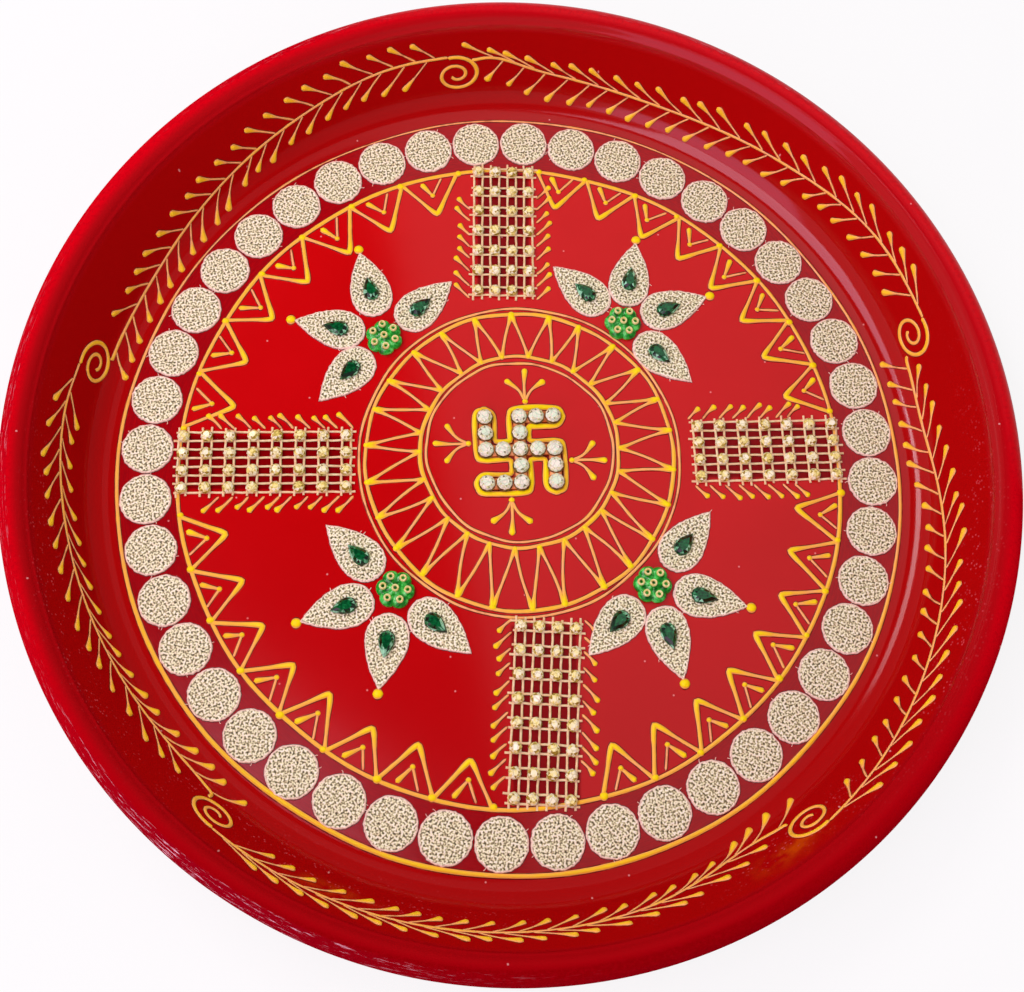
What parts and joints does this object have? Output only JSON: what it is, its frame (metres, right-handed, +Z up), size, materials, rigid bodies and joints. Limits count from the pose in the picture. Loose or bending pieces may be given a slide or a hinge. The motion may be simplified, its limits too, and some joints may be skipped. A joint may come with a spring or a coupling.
{
  "type": "puja thali",
  "caption": "Round red-painted steel puja plate with a rolled rim, a ring of fabric discs, gem-set fabric flowers, bead-net strips and a rhinestone swastik in the middle.",
  "frame": {"origin": "centre of the plate's flat underside, on the table", "axes": "+Z up out of the dish, +Y towards the top of the swastik as the plate is held, +X to its right"},
  "size_m": [0.2798, 0.2798, 0.029],
  "materials": {
    "red_enamel": "gloss red enamel over pressed steel",
    "lurex_fabric": "stiff champagne lurex weave",
    "green_gem": "faceted acrylic gem with a foil back",
    "green_flower": "clear green moulded plastic",
    "gold_seed": "pale gold metallised bead",
    "net_filament": "pale gold plastic filament",
    "net_stone": "pale gold faceted acrylic",
    "rhinestone": "clear faceted glass with a foil back",
    "stone_cup": "bright plated cup",
    "piped_paint": "amber relief paint piped from a cone"
  },
  "bodies": {
    "root": {"bead_net_east": "net_filament", "bead_net_north": "net_filament", "bead_net_south": "net_filament", "bead_net_west": "net_filament", "fabric_discs": "lurex_fabric", "flower_bead_north_east": "green_flower", "flower_bead_north_west": "green_flower", "flower_bead_south_east": "green_flower", "flower_bead_south_west": "green_flower", "gem_north_east_1": "green_gem", "gem_north_east_2": "green_gem", "gem_north_east_3": "green_gem", "gem_north_east_4": "green_gem", "gem_north_west_1": "green_gem", "gem_north_west_2": "green_gem", "gem_north_west_3": "green_gem", "gem_north_west_4": "green_gem", "gem_south_east_1": "green_gem", "gem_south_east_2": "green_gem", "gem_south_east_3": "green_gem", "gem_south_east_4": "green_gem", "gem_south_west_1": "green_gem", "gem_south_west_2": "green_gem", "gem_south_west_3": "green_gem", "gem_south_west_4": "green_gem", "net_stones_east": "net_stone", "net_stones_north": "net_stone", "net_stones_south": "net_stone", "net_stones_west": "net_stone", "petal_north_east_1": "lurex_fabric", "petal_north_east_2": "lurex_fabric", "petal_north_east_3": "lurex_fabric", "petal_north_east_4": "lurex_fabric", "petal_north_west_1": "lurex_fabric", "petal_north_west_2": "lurex_fabric", "petal_north_west_3": "lurex_fabric", "petal_north_west_4": "lurex_fabric", "petal_south_east_1": "lurex_fabric", "petal_south_east_2": "lurex_fabric", "petal_south_east_3": "lurex_fabric", "petal_south_east_4": "lurex_fabric", "petal_south_west_1": "lurex_fabric", "petal_south_west_2": "lurex_fabric", "petal_south_west_3": "lurex_fabric", "petal_south_west_4": "lurex_fabric", "plate": "red_enamel", "seed_beads_north_east": "gold_seed", "seed_beads_north_west": "gold_seed", "seed_beads_south_east": "gold_seed", "seed_beads_south_west": "gold_seed", "swastik_cups": "stone_cup", "swastik_stones": "rhinestone"}
  },
  "joints": []
}
